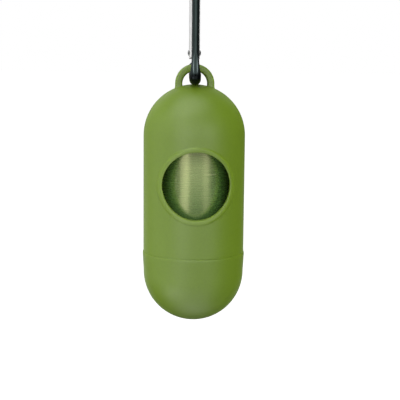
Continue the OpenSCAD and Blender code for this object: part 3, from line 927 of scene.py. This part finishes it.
# ---------------------------------------------------------------- camera
def camera():
    cd = bpy.data.cameras.new("cam")
    co = bpy.data.objects.new("cam", cd)
    bpy.context.scene.collection.objects.link(co)
    bpy.context.scene.camera = co
    cd.sensor_width, cd.sensor_fit = 36.0, "HORIZONTAL"
    cd.lens = 90.4
    cd.dof.use_dof = False
    cd.clip_start, cd.clip_end = 0.01, 20
    D, e, phi, roll = 0.400, math.radians(8.53), math.radians(3.23), math.radians(0.48)
    target = Vector((0, 0, (DOME_Z - 25) * MM))
    back = Vector((-math.sin(phi) * math.cos(e), -math.cos(phi) * math.cos(e), math.sin(e)))
    right = Vector((0, 0, 1)).cross(back).normalized()
    up = back.cross(right)
    r2 = right * math.cos(roll) + up * math.sin(roll)
    u2 = up * math.cos(roll) - right * math.sin(roll)
    rot = Matrix((r2, u2, back)).transposed()
    co.matrix_world = Matrix.Translation(target + back * D) @ rot.to_4x4()
    # the aim falls at (193.75, 197.85) of 400
    cd.shift_x = (200 - 193.75) / 400
    cd.shift_y = -(200 - 197.85) / 400
    return co


camera()


# ---------------------------------------------------------------- studio
def stage_plane(name, size, loc, rot, mat):
    bm = bmesh.new()
    bmesh.ops.create_grid(bm, x_segments=1, y_segments=1, size=size / 2)
    me = bpy.data.meshes.new(name)
    bm.to_mesh(me)
    bm.free()
    me.materials.append(mat)
    o = bpy.data.objects.new(name, me)
    o.location, o.rotation_euler = loc, rot
    bpy.context.scene.collection.objects.link(o)
    return o


def studio():
    sc = bpy.context.scene
    sc.view_settings.view_transform = "Standard"
    sc.view_settings.look = "None"
    sc.view_settings.exposure, sc.view_settings.gamma = 0.0, 1.0
    w = bpy.data.worlds.new("studio")
    sc.world = w
    w.use_nodes = True
    nt = w.node_tree
    nt.nodes.clear()
    out = nt.nodes.new("ShaderNodeOutputWorld")
    bg = nt.nodes.new("ShaderNodeBackground")
    bg.inputs["Color"].default_value = (1, 1, 1, 1)
    bg.inputs["Strength"].default_value = 1.0
    dim = nt.nodes.new("ShaderNodeBackground")
    dim.inputs["Color"].default_value = (1, 1, 1, 1)
    dim.inputs["Strength"].default_value = WORLD
    low = nt.nodes.new("ShaderNodeBackground")
    low.inputs["Color"].default_value = (1, 1, 1, 1)
    low.inputs["Strength"].default_value = WORLD_GLOSS
    lp = nt.nodes.new("ShaderNodeLightPath")
    mg = nt.nodes.new("ShaderNodeMixShader")
    nt.links.new(lp.outputs["Is Glossy Ray"], mg.inputs[0])
    nt.links.new(dim.outputs[0], mg.inputs[1])
    nt.links.new(low.outputs[0], mg.inputs[2])
    mx = nt.nodes.new("ShaderNodeMixShader")
    nt.links.new(lp.outputs["Is Camera Ray"], mx.inputs[0])
    nt.links.new(mg.outputs[0], mx.inputs[1])
    nt.links.new(bg.outputs[0], mx.inputs[2])
    nt.links.new(mx.outputs[0], out.inputs[0])

    fm, s = new_mat("pale_floor")
    pale = noise(fm, coords(fm, (0.01, 0.01, 0.01)), 1.0, 2.0)
    link(fm, ramp(fm, pale, [(0.3, (0.93, 0.93, 0.93)), (0.7, (0.96, 0.96, 0.96))]), s.inputs["Base Color"])
    s.inputs["Roughness"].default_value = 0.9
    s.inputs["Emission Color"].default_value = (1, 1, 1, 1)
    s.inputs["Emission Strength"].default_value = 0.9
    floor = stage_plane("floor", 60.0, (0, 0, -0.55), (0, 0, 0), fm)
    floor.visible_diffuse = floor.visible_glossy = False

    def softbox(name, az, el, w, h, dist, radiance, glossy=True):
        """A softbox seen from the object at azimuth az (0 in front, + to the right) and elevation el, in degrees."""
        ld = bpy.data.lights.new(name, "AREA")
        ld.shape, ld.size, ld.size_y = "RECTANGLE", w, h
        ld.energy = radiance * math.pi * w * h
        lo = bpy.data.objects.new(name, ld)
        sc.collection.objects.link(lo)
        a, e = math.radians(az), math.radians(el)
        d = Vector((math.sin(a) * math.cos(e), -math.cos(a) * math.cos(e), math.sin(e)))
        lo.location = Vector((0, 0, -0.09)) + dist * d
        lo.rotation_euler = d.to_track_quat("Z", "Y").to_euler()
        lo.visible_glossy = glossy
        if not glossy:
            ld.cycles.use_multiple_importance_sampling = False
        lo.visible_camera = False
        return lo

    for name, az, el, w, h, dist, radiance, fill in SOFTBOXES:
        if radiance:
            softbox(name, az, el, w, h, dist, radiance)
        if fill:
            softbox(name + "_fill", az, el, w, h, dist, fill, glossy=False)


WORLD, WORLD_GLOSS = 0.18, 0.04
# name, azimuth, elevation, width, height, distance, radiance, further radiance for diffuse light alone
SOFTBOXES = [
    ("front", 5, 12, 1.5, 0.8, 1.0, 0.77, 0),
    ("key", -32, 4, 0.46, 0.95, 0.95, 1.01, 0),
    ("right_front", 36, 4, 0.36, 0.95, 1.0, 0.46, 0),
    ("edge", 54, 5, 0.3, 0.95, 1.05, 0.15, 0.63),
    ("left", -66, 4, 0.4, 0.95, 1.0, 0.40, 0.24),
    ("left_wall", -95, 6, 0.8, 1.2, 1.0, 0.52, 1.85),
    ("back_left", -150, 10, 0.9, 1.2, 1.1, 0.34, 0.95),
    ("right_fill", 82, 6, 1.0, 1.0, 1.1, 0, 1.85),
    ("back_right", 140, 10, 0.9, 1.2, 1.1, 0, 1.85),
    ("top", -30, 76, 1.1, 0.9, 1.1, 1.20, 0.32),
    ("upper_front", 0, 45, 1.4, 0.5, 1.1, 0, 0.80),
    ("upper_left", -50, 48, 0.8, 0.5, 1.1, 1.10, 0.1),
    ("upper_right", 60, 45, 0.7, 0.5, 1.1, 0, 0.45),
    ("low_front", 0, -46, 1.6, 0.5, 1.0, 0.70, 1.15),
    ("low_left", -60, -42, 0.7, 0.5, 1.1, 1.35, 1.00),
    ("low_right", 55, -42, 0.7, 0.5, 1.1, 0, 1.70),
    ("under", 0, -84, 0.9, 0.8, 1.1, 0.77, 2.70),
    ("back_top", 180, 32, 1.6, 0.6, 1.1, 0.36, 0.4),
    ("back_low", 180, -22, 1.6, 0.5, 1.1, 0.50, 0.3),
]
studio()
